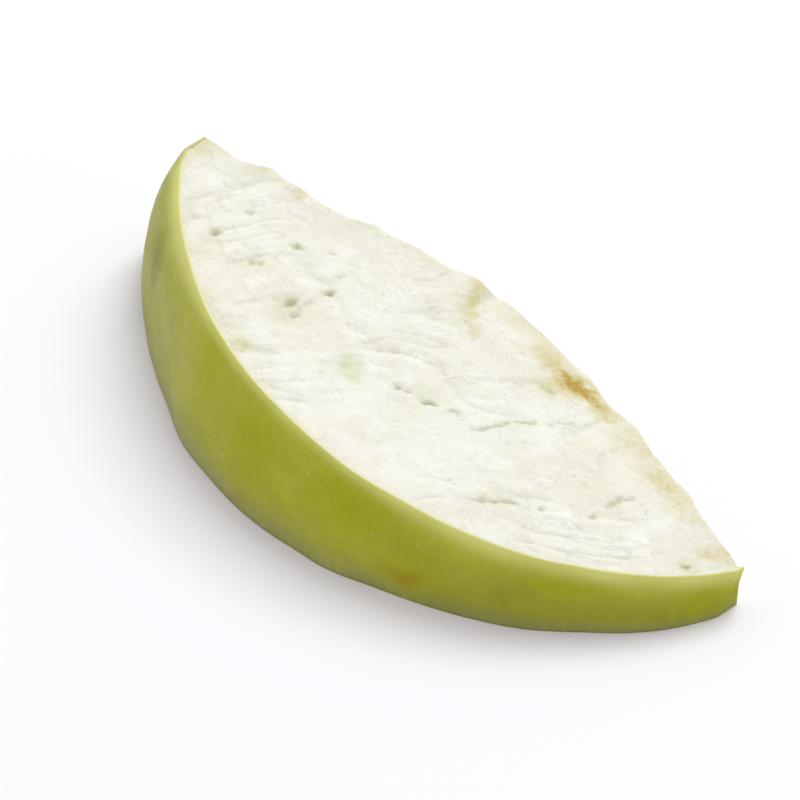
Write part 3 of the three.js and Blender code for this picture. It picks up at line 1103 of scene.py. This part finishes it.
def make_flesh(settings):
    """The flesh: the slice's form, stepped back under the peel, its edges rounded, and its
    relief laid on along the normals. The underside only rises, so it rests flat."""
    sizes = (settings.flesh_steps_along, settings.flesh_steps_across, settings.flesh_steps_up)
    lattice, quads = box_lattice(*sizes)
    i, j, k = (lattice[:, n] / sizes[n] for n in range(3))
    along = ends_closer(i, TIP_GATHERING)
    across = ends_closer(j, SIDE_GATHERING)
    points = place(along, across, k)

    width = np.linalg.norm(place(along, 1 + 0 * j, k) - place(along, 0 * j, k), axis=1)
    from_peel = across * width
    from_thick = points[:, 0] - place(0 * i, across, k)[:, 0]
    from_thin = place(1 + 0 * i, across, k)[:, 0] - points[:, 0]
    from_tips = np.minimum(from_thick, from_thin)
    skin = place(along, 0 * j, k)
    dents = skin_dents(skin, Noise(settings.seed + 5)) * skin_share(along)
    shoulder = in_mm(settings.shoulder_radius)
    below_cut = place(along, across, 1 + 0 * k)[:, 2] - points[:, 2]
    inset = 0.5 * in_mm(settings.peel_thickness) + shoulder * fade(below_cut, SHOULDER_REACH)
    reach = np.minimum(PEEL_REACH, 0.9 * width)
    back = (inset - dents) * fade(from_peel, reach)
    out_way = out_of_peel(along, k)
    points -= back[:, None] * out_way
    moved = back * out_way[:, 0]
    points[:, 0] += fade(from_thick, TIP_REACH) * np.maximum(inset + moved, 0)
    points[:, 0] -= fade(from_thin, TIP_REACH) * np.maximum(inset - moved, 0)

    sides = [np.minimum(n * size, (1 - n) * size) for n, size in zip((i, j, k), sizes)]
    spread = np.sort(np.stack(sides, axis=1), axis=1)
    near_rim = np.minimum(from_peel, from_tips)
    near_edge = bell(spread[:, 1], 4.0) * smooth_step(0.1, 0.7, near_rim)
    points = relax(points, quads, 0.5 * near_edge, settings.edge_rounding)

    noise = Noise(settings.seed)
    normals = vertex_normals(points, quads)
    height, dark = flesh_relief(points, normals, settings, noise)
    brown, green, tone = flesh_marks(points, normals, noise)
    up = np.clip(normals[:, 2] * 1.15, 0, 1)
    out = facing(normals[:, 1])
    covered = np.maximum(1 - up - out - np.clip(-normals[:, 2], 0, 1), 0)
    inside = smooth_step(0, RIM_CALM_REACH, from_peel) * smooth_step(0, TIP_CALM_REACH, from_tips)
    height *= mix(RIM_RELIEF, 1.0, inside) * (1 - np.clip(1.5 * covered, 0, 1))
    at_joint = fade(from_tips, JOINT_REACH) * out
    height = height * (1 - JOINT_CALM * at_joint) - JOINT_SET_BACK * at_joint
    height += JOINT_RISE * fade(from_thin, 2.5) * fade(near_rim, 0.5) * up
    sag = np.sin(np.pi * j) * np.minimum(1, width / FULL_SAG_WIDTH)
    height -= in_mm(settings.sag_depth) * sag * up
    height -= in_mm(settings.rim_drop) * bell(near_rim, 0.5) * up
    to_core = (1 - across) * width
    height *= 1 - CORE_CALM * bell(to_core, CORE_CALM_REACH)
    shown = np.maximum(up, out)
    height += LIP_HEIGHT * bell(to_core, LIP_HALF_WIDTH) * shown * smooth_step(0, 1.5, near_rim)
    crumbs = np.maximum(0, noise.gradient(points / 1.5 + 80.0) - 0.15)
    height -= CRUMB_DEPTH * crumbs * bell(to_core, CRUMB_HALF_WIDTH) * shown
    height = np.where(normals[:, 2] < -0.5, np.minimum(0, height - 0.05), height)
    points = points + height[:, None] * normals
    points[:, 2] = np.maximum(points[:, 2], 0)

    rim = 0.45 * bell(near_rim, 0.3) + 0.14 * bell(near_rim, 1.5)
    attributes = {"hollow": dark, "brown": brown, "green": green, "tone": tone, "rim": rim}
    uv = flesh_uv(lattice, quads, sizes)
    return make_piece("flesh", points, quads, flesh_material(settings), uv, attributes)


# ---- the peel ----

# The peel's inner face ends this high above the underside, hidden in the flesh.
FOOT_CLEARANCE = 0.02
# How strongly the peel's rows gather towards its upper edge.
EDGE_GATHERING = 1.7
# Rounds of evening out, which bend the peel softly round the tips: its outer face, and the
# direction in from it.
OUTER_ROUNDS = 3
INWARD_ROUNDS = 4
# How much the fraying changes the thickness of the cut edge.
EDGE_FRAY = 0.18


def peel_path(steps, end_steps):
    """The peel's way round the slice: in along the thick tip's end, along the outer side
    and in along the thin tip's end, as (along, across) shares."""
    run = ends_closer(np.linspace(0, 1, steps + 1), TIP_GATHERING)
    start = np.linspace(1, 0, end_steps, endpoint=False)
    finish = np.linspace(0, 1, end_steps + 1)[1:]
    along = np.concatenate((np.zeros(end_steps), run, np.ones(end_steps)))
    across = np.concatenate((start, np.zeros(steps + 1), finish))
    return along, across


def smooth_rows(grid, rounds):
    """Evens out a grid along its first axis by a 1-2-1 mean, keeping both ends."""
    for _ in range(rounds):
        grid = grid.copy()
        grid[1:-1] = 0.25 * grid[:-2] + 0.5 * grid[1:-1] + 0.25 * grid[2:]
    return grid


def make_peel(settings):
    """The peel: a closed shell. Its outer face follows the round fruit, with low dents, and
    turns over in a small round at its upper edge; its inner face lies one thickness further
    in, just inside the flesh; both of its ends lie in the core side."""
    along, across = peel_path(settings.peel_steps_along, settings.peel_end_steps)
    rows = settings.peel_steps_up
    up = 1 - (1 - np.linspace(0, 1, rows + 1)) ** EDGE_GATHERING
    along, up_grid = np.meshgrid(along, up, indexing="ij")
    across = np.broadcast_to(across[:, None], along.shape)
    outer = smooth_rows(place(along, across, up_grid), OUTER_ROUNDS)
    inward = smooth_rows(-quarter_turn(np.gradient(outer, axis=0)), INWARD_ROUNDS)
    inward /= np.linalg.norm(inward, axis=2)[..., None]

    noise = Noise(settings.seed + 5)
    flat = outer.reshape(-1, 3)
    dents = (skin_dents(flat, noise) * skin_share(along.ravel())).reshape(along.shape)
    outer = outer - dents[..., None] * inward
    below_rim = outer[:, -1:, 2] - outer[..., 2]
    shoulder = in_mm(settings.shoulder_radius)
    turned = np.sqrt(np.maximum(0, 1 - np.clip(1 - below_rim / shoulder, 0, 1) ** 2))
    outer = outer + (shoulder * (1 - turned))[..., None] * inward

    thick = in_mm(settings.peel_thickness)
    frays = noise.gradient(flat / 3.5 + 9.0) + 0.6 * noise.gradient(flat / 0.9 + 5.0)
    frays = frays.reshape(along.shape)[:, -1]
    top = outer[:, -1]
    rise = in_mm(settings.peel_rise) * (0.8 + 0.8 * frays)
    lift = np.zeros_like(top)
    lift[:, 2] = np.clip(rise, 0.01, None)
    thickness = thick * (1 + EDGE_FRAY * frays)
    turns = np.linspace(0, np.pi, 2 * settings.peel_edge_pairs + 2)[1:-1]
    edge = [
        top
        + lift * math.sin(turn)
        + inward[:, -1] * (0.5 * thickness * (1 - math.cos(turn)))[:, None]
        for turn in turns
    ]
    inner = (outer + thick * inward)[:, ::-1]
    inner[:, :, 2] = np.clip(inner[:, :, 2], FOOT_CLEARANCE, None)
    inner[:, 0] = top + inward[:, -1] * thickness[:, None] - lift
    ring = np.concatenate((outer, np.stack(edge, axis=1), inner), axis=1)
    ring[:, -1, 2] = FOOT_CLEARANCE

    columns, count = ring.shape[:2]
    ids = np.arange(columns * count).reshape(columns, count)
    around = np.roll(ids, -1, axis=1)
    quads = np.stack((ids[:-1], ids[1:], around[1:], around[:-1]), axis=-1).reshape(-1, 4)
    caps = [end_cap(ids[0]), end_cap(ids[-1])[:, ::-1]]
    uv = peel_uv(ids, quads, caps, count)
    quads = np.concatenate((quads, *caps))
    points = ring.reshape(-1, 3)

    height = np.concatenate((up, np.ones(len(turns)), up[::-1]))
    height = np.broadcast_to(height, (columns, count)).ravel()
    below = (ring[:, rows : rows + 1, 2] - ring[..., 2]).ravel()
    on_edge = np.zeros(count)
    on_edge[rows + 1 :] = 1
    edge_share = np.broadcast_to(on_edge, (columns, count)).ravel()
    attributes = peel_marks(points, height, below, edge_share, noise)
    return make_piece("peel", points, quads, peel_material(settings), uv, attributes)


def end_cap(ids):
    """Quads that close one end of the shell: each runs from the first half of its section,
    up the outer face, straight across to the second half, down the inner face."""
    outer, inner = ids[: len(ids) // 2], ids[::-1][: len(ids) // 2]
    return np.stack((outer[:-1], outer[1:], inner[1:], inner[:-1]), axis=1)


def peel_marks(points, height, below, edge_share, noise):
    """How strong each of the peel's tints is at each point: height is its share of the way up,
    below its distance under the cut edge and edge_share 1 on the cut edge. Some tints are
    painted light: painted shade, a painted reflection of the floor at the foot, a painted
    sheen and painted light over the upper part."""
    x, y, z = points.T
    shift = 0.6 * noise.gradient(points / 2.0 + 4.0)
    uneven = 1 + 0.3 * noise.gradient(points / 4.0 + 15.0)
    thin_end = smooth_step(4, 18, x)
    thick_end = smooth_step(-10, -26, x)
    reach = 0.6 + 0.45 * thin_end + 0.95 * thick_end
    share = 0.62 + 0.36 * thin_end + 0.38 * thick_end
    pale = share * uneven * bell(np.maximum(below, 0), reach)
    # Painted sheen: the peel greyer towards the thick tip, and low down where x is below 12, where
    # it turns away and mirrors the pale surroundings and the floor.
    bloom = smooth_step(-6, -22, x) * (0.85 - 0.5 * smooth_step(0.55, 1.0, height))
    bloom += 0.6 * smooth_step(0.5, 0.1, height) * smooth_step(12, 0, x)
    # Painted shade: the peel darker towards the thin tip below its top and all along its foot,
    # where it lies in shade beside its contact shadow.
    shade = smooth_step(4, 24, x) * smooth_step(0.8, 0.35, height)
    shade += 0.35 * smooth_step(0.3, 0.0, height)
    fresh = patches_on(x + shift, height, FRESH_PATCHES)
    light = patches_on(x + shift, height, LIGHT_PATCHES)
    # Painted light: the peel lighter over its upper part, where it turns up towards the light from
    # above.
    light += 0.5 * smooth_step(0.6, 0.95, height) * np.maximum(1 - 0.7 * fresh, 0)
    # Painted reflection of the floor: the peel greyer and bluer along its foot, most around x =
    # -12.
    foot = smooth_step(0.3, 0.0, height) * (0.82 + 0.3 * bell(x + 12, 7))
    marks = {"pale": pale, "cut": edge_share, "bloom": bloom, "shade": shade, "foot": foot}
    marks.update({"fresh": fresh, "light": light, "dusk": 0 * x, "bruise": 0 * x})
    for tint, at_x, at_z, half_x, half_z, strength, shift_x, shift_z in PEEL_STAINS:
        away_x = (x - at_x + shift_x * shift) / half_x
        away_z = (z - at_z + shift_z * shift) / half_z
        marks[tint] = marks[tint] + strength * bell(np.hypot(away_x, away_z), 1)
    return {name: np.clip(values, 0, 1) for name, values in marks.items()}


def peel_uv(ids, quads, caps, count):
    """The peel's own map: along the shell by round its section, cut at the foot, with the
    two end caps as narrow strips beside it."""
    columns = len(ids)
    column, row = np.divmod(quads, count)
    row = row.astype(float)
    wraps = (row.max(axis=1) - row.min(axis=1)) > count / 2
    row = np.where(wraps[:, None] & (row < count / 2), count, row)
    main = np.stack((0.015 + 0.97 * column / (columns - 1), 0.04 + 0.92 * row / count), axis=-1)
    strips = []
    for cap, side in zip(caps, (0.002, 0.998)):
        row = cap % count
        outer = row < count / 2
        height = np.where(outer, row, row[:, [3, 2, 1, 0]])
        share = np.where(outer, side, mix(side, 0.5, 0.018))
        strips.append(np.stack((share, 0.04 + 0.92 * height / count), axis=-1))
    return np.concatenate((main, *strips))


# ---- settings and operators ----


def length_setting(name, description, millimetres):
    """A length setting, given here in millimetres."""
    return FloatProperty(
        name=name, description=description, default=millimetres * METRES, unit="LENGTH", precision=5
    )


def count_setting(name, description, count):
    """A whole number setting of 1 or more."""
    return IntProperty(name=name, description=description, default=count, min=1)


def color_setting(name, description, color):
    """A colour setting."""
    return FloatVectorProperty(
        name=name, description=description, default=color, subtype="COLOR", min=0, max=1
    )


class SliceSettings(bpy.types.PropertyGroup):
    """Sizes and colours of the slice."""

    seed: IntProperty(name="Seed", description="Start of every random draw", default=11, min=0)
    flesh_steps_along: count_setting("Flesh steps along", "Mesh steps from tip to tip", 336)
    flesh_steps_across: count_setting("Flesh steps across", "Mesh steps from peel to core", 108)
    flesh_steps_up: count_setting("Flesh steps up", "Mesh steps from underside to top", 26)
    edge_rounding: count_setting("Edge rounding", "Rounds of evening out along the edges", 3)
    wave_height: length_setting("Waves", "Height of the dried flesh's broad waves", 0.20)
    wrinkle_height: length_setting("Wrinkles", "Height of the dried flesh's folds", 0.42)
    lump_height: length_setting("Lumps", "Height of the lumps between the folds", 0.06)
    seam_depth: length_setting("Seams", "Depth of the fine angular cracks", 0.07)
    grain_height: length_setting("Grain", "Height of the grain of the cut", 0.03)
    chamber_depth: length_setting("Chamber", "Depth of the seed chamber's wall", 0.8)
    sag_depth: length_setting("Sag", "How far the flesh sinks between peel and core", 0.4)
    rim_drop: length_setting("Rim drop", "How far the flesh lies below the peel's edge", 0.01)
    peel_thickness: length_setting("Peel thickness", "Thickness of the dried peel", 0.17)
    peel_rise: length_setting("Peel rise", "How far the peel stands above the flesh", 0.02)
    shoulder_radius: length_setting("Shoulder", "Rounding of the peel's upper edge", 0.12)
    peel_steps_along: count_setting("Peel steps along", "Mesh steps from tip to tip", 360)
    peel_end_steps: count_setting("Peel end steps", "Mesh steps round each tip", 16)
    peel_steps_up: count_setting("Peel steps up", "Mesh steps from foot to rim, on each face", 48)
    peel_edge_pairs: count_setting("Peel edge pairs", "Pairs of points over the cut edge", 3)
    flesh_color: color_setting("Flesh", "Cream of the flesh", (0.855, 0.875, 0.745))
    flesh_warm_color: color_setting("Warm flesh", "Warmer, duller patches", (0.82, 0.805, 0.65))
    flesh_white_color: color_setting("White flesh", "Chalky patches", (0.90, 0.92, 0.82))
    peel_color: color_setting("Peel", "Yellow-green of the peel", (0.374, 0.387, 0.024))
    peel_olive_color: color_setting("Olive peel", "Darker patches", (0.30, 0.311, 0.023))
    peel_bright_color: color_setting("Bright peel", "Brighter patches", (0.44, 0.455, 0.034))


class StageSettings(bpy.types.PropertyGroup):
    """The floor, the lights and the camera."""

    floor_color: color_setting("Floor", "Pale floor", (0.93, 0.93, 0.935))
    world_color: color_setting("Surroundings", "Pale surroundings", (0.951, 0.911, 1.0))
    world_strength: FloatProperty(
        name="Surroundings' strength", description="Light from all round", default=0.69
    )
    key_power: FloatProperty(
        name="Key light", description="Power of the soft main light", default=3.9
    )
    fill_power: FloatProperty(
        name="Fill light", description="Power of the soft side light", default=0.6
    )
    camera_azimuth: FloatProperty(
        name="Azimuth", description="Camera's turn", subtype="ANGLE", default=math.radians(45)
    )
    camera_elevation: FloatProperty(
        name="Elevation", description="Camera's rise", subtype="ANGLE", default=math.radians(43)
    )
    camera_distance: length_setting("Distance", "From the slice to the camera", 2000)
    frame_width: length_setting("Frame width", "Width of the view at the slice", 69)


class OBJECT_OT_slice_flesh(bpy.types.Operator):
    """Makes the slice's dried flesh"""

    bl_idname = "object.slice_flesh"
    bl_label = "Dried flesh"

    def execute(self, context):
        piece = make_flesh(context.scene.slice_settings)
        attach(piece, BODY)
        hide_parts(NODE)
        return {"FINISHED"}


class OBJECT_OT_slice_peel(bpy.types.Operator):
    """Makes the slice's thin green peel"""

    bl_idname = "object.slice_peel"
    bl_label = "Green peel"

    def execute(self, context):
        piece = make_peel(context.scene.slice_settings)
        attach(piece, BODY)
        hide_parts(NODE)
        return {"FINISHED"}


# The lights: name, setting of its power, width, and how far it stands from the slice's
# middle to the camera's right, away from the camera and up, all in metres.
LIGHTS = (
    ("key", "key_power", 0.5, (0.29, 0.35, 0.75)),
    ("fill", "fill_power", 0.6, (-0.65, 0.10, 0.45)),
)


def aim(piece, target):
    """Turns a light or a camera so that it looks at target."""
    way = target - piece.location
    piece.rotation_euler = way.to_track_quat("-Z", "Y").to_euler()


def add_light(name, power, size, place_at, target):
    """A square soft light that looks at target."""
    data = bpy.data.lights.new(name, "AREA")
    data.energy = power
    data.shape = "SQUARE"
    data.size = size
    light = bpy.data.objects.new(name, data)
    bpy.context.scene.collection.objects.link(light)
    light.location = place_at
    aim(light, target)


def add_floor(settings, height, half=3.0):
    """A level square at height, as far as half each way."""
    mesh = bpy.data.meshes.new("floor")
    corners = [(-half, -half), (half, -half), (half, half), (-half, half)]
    mesh.from_pydata([(x, y, height) for x, y in corners], [], [(0, 1, 2, 3)])
    mesh.materials.append(floor_material(settings))
    floor = bpy.data.objects.new("floor", mesh)
    bpy.context.scene.collection.objects.link(floor)


class OBJECT_OT_slice_stage(bpy.types.Operator):
    """Makes the floor, the soft lights and the camera"""

    bl_idname = "object.slice_stage"
    bl_label = "Stage"

    def execute(self, context):
        stage = context.scene.stage_settings
        add_floor(stage, CAD_LOW.z)
        world = bpy.data.worlds.new("surroundings")
        world.use_nodes = True
        background = world.node_tree.nodes["Background"]
        background.inputs["Color"].default_value = (*stage.world_color, 1)
        background.inputs["Strength"].default_value = stage.world_strength
        context.scene.world = world
        context.scene.view_settings.view_transform = "Standard"

        middle = (CAD_LOW + CAD_HIGH) / 2
        azimuth = stage.camera_azimuth
        right = Vector((math.cos(azimuth), math.sin(azimuth), 0))
        away = Vector((-math.sin(azimuth), math.cos(azimuth), 0))
        up = Vector((0, 0, 1))
        for name, power, width, steps in LIGHTS:
            light_at = sum((n * way for n, way in zip(steps, (right, away, up))), middle)
            add_light(name, getattr(stage, power), width, light_at, middle)

        data = bpy.data.cameras.new("camera")
        data.angle = 2 * math.atan(stage.frame_width / 2 / stage.camera_distance)
        camera = bpy.data.objects.new("camera", data)
        context.scene.collection.objects.link(camera)
        rise = stage.camera_elevation
        back = -away * math.cos(rise) + up * math.sin(rise)
        camera.location = middle + stage.camera_distance * back
        aim(camera, middle)
        context.scene.camera = camera
        return {"FINISHED"}


class VIEW3D_PT_slice(bpy.types.Panel):
    """Lists the steps that build the slice"""

    bl_label = "Fruit slice"
    bl_idname = "VIEW3D_PT_slice"
    bl_space_type = "VIEW_3D"
    bl_region_type = "UI"
    bl_category = "Slice"

    def draw(self, context):
        for step in OPERATORS:
            self.layout.operator(step.bl_idname)
        for group in (context.scene.slice_settings, context.scene.stage_settings):
            box = self.layout.box()
            for key in group.__annotations__:
                box.prop(group, key)


OPERATORS = (OBJECT_OT_slice_flesh, OBJECT_OT_slice_peel, OBJECT_OT_slice_stage)
CLASSES = (SliceSettings, StageSettings, *OPERATORS, VIEW3D_PT_slice)


def register():
    """Registers the classes and hangs both groups of settings on the scene."""
    for cls in CLASSES:
        bpy.utils.register_class(cls)
    bpy.types.Scene.slice_settings = PointerProperty(type=SliceSettings)
    bpy.types.Scene.stage_settings = PointerProperty(type=StageSettings)


def unregister():
    """Takes the settings and the classes away again."""
    del bpy.types.Scene.stage_settings
    del bpy.types.Scene.slice_settings
    for cls in reversed(CLASSES):
        bpy.utils.unregister_class(cls)


def main():
    """Builds every piece and the stage."""
    register()
    bpy.ops.object.slice_flesh()
    bpy.ops.object.slice_peel()
    bpy.ops.object.slice_stage()
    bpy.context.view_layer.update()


if __name__ == "__main__":
    main()
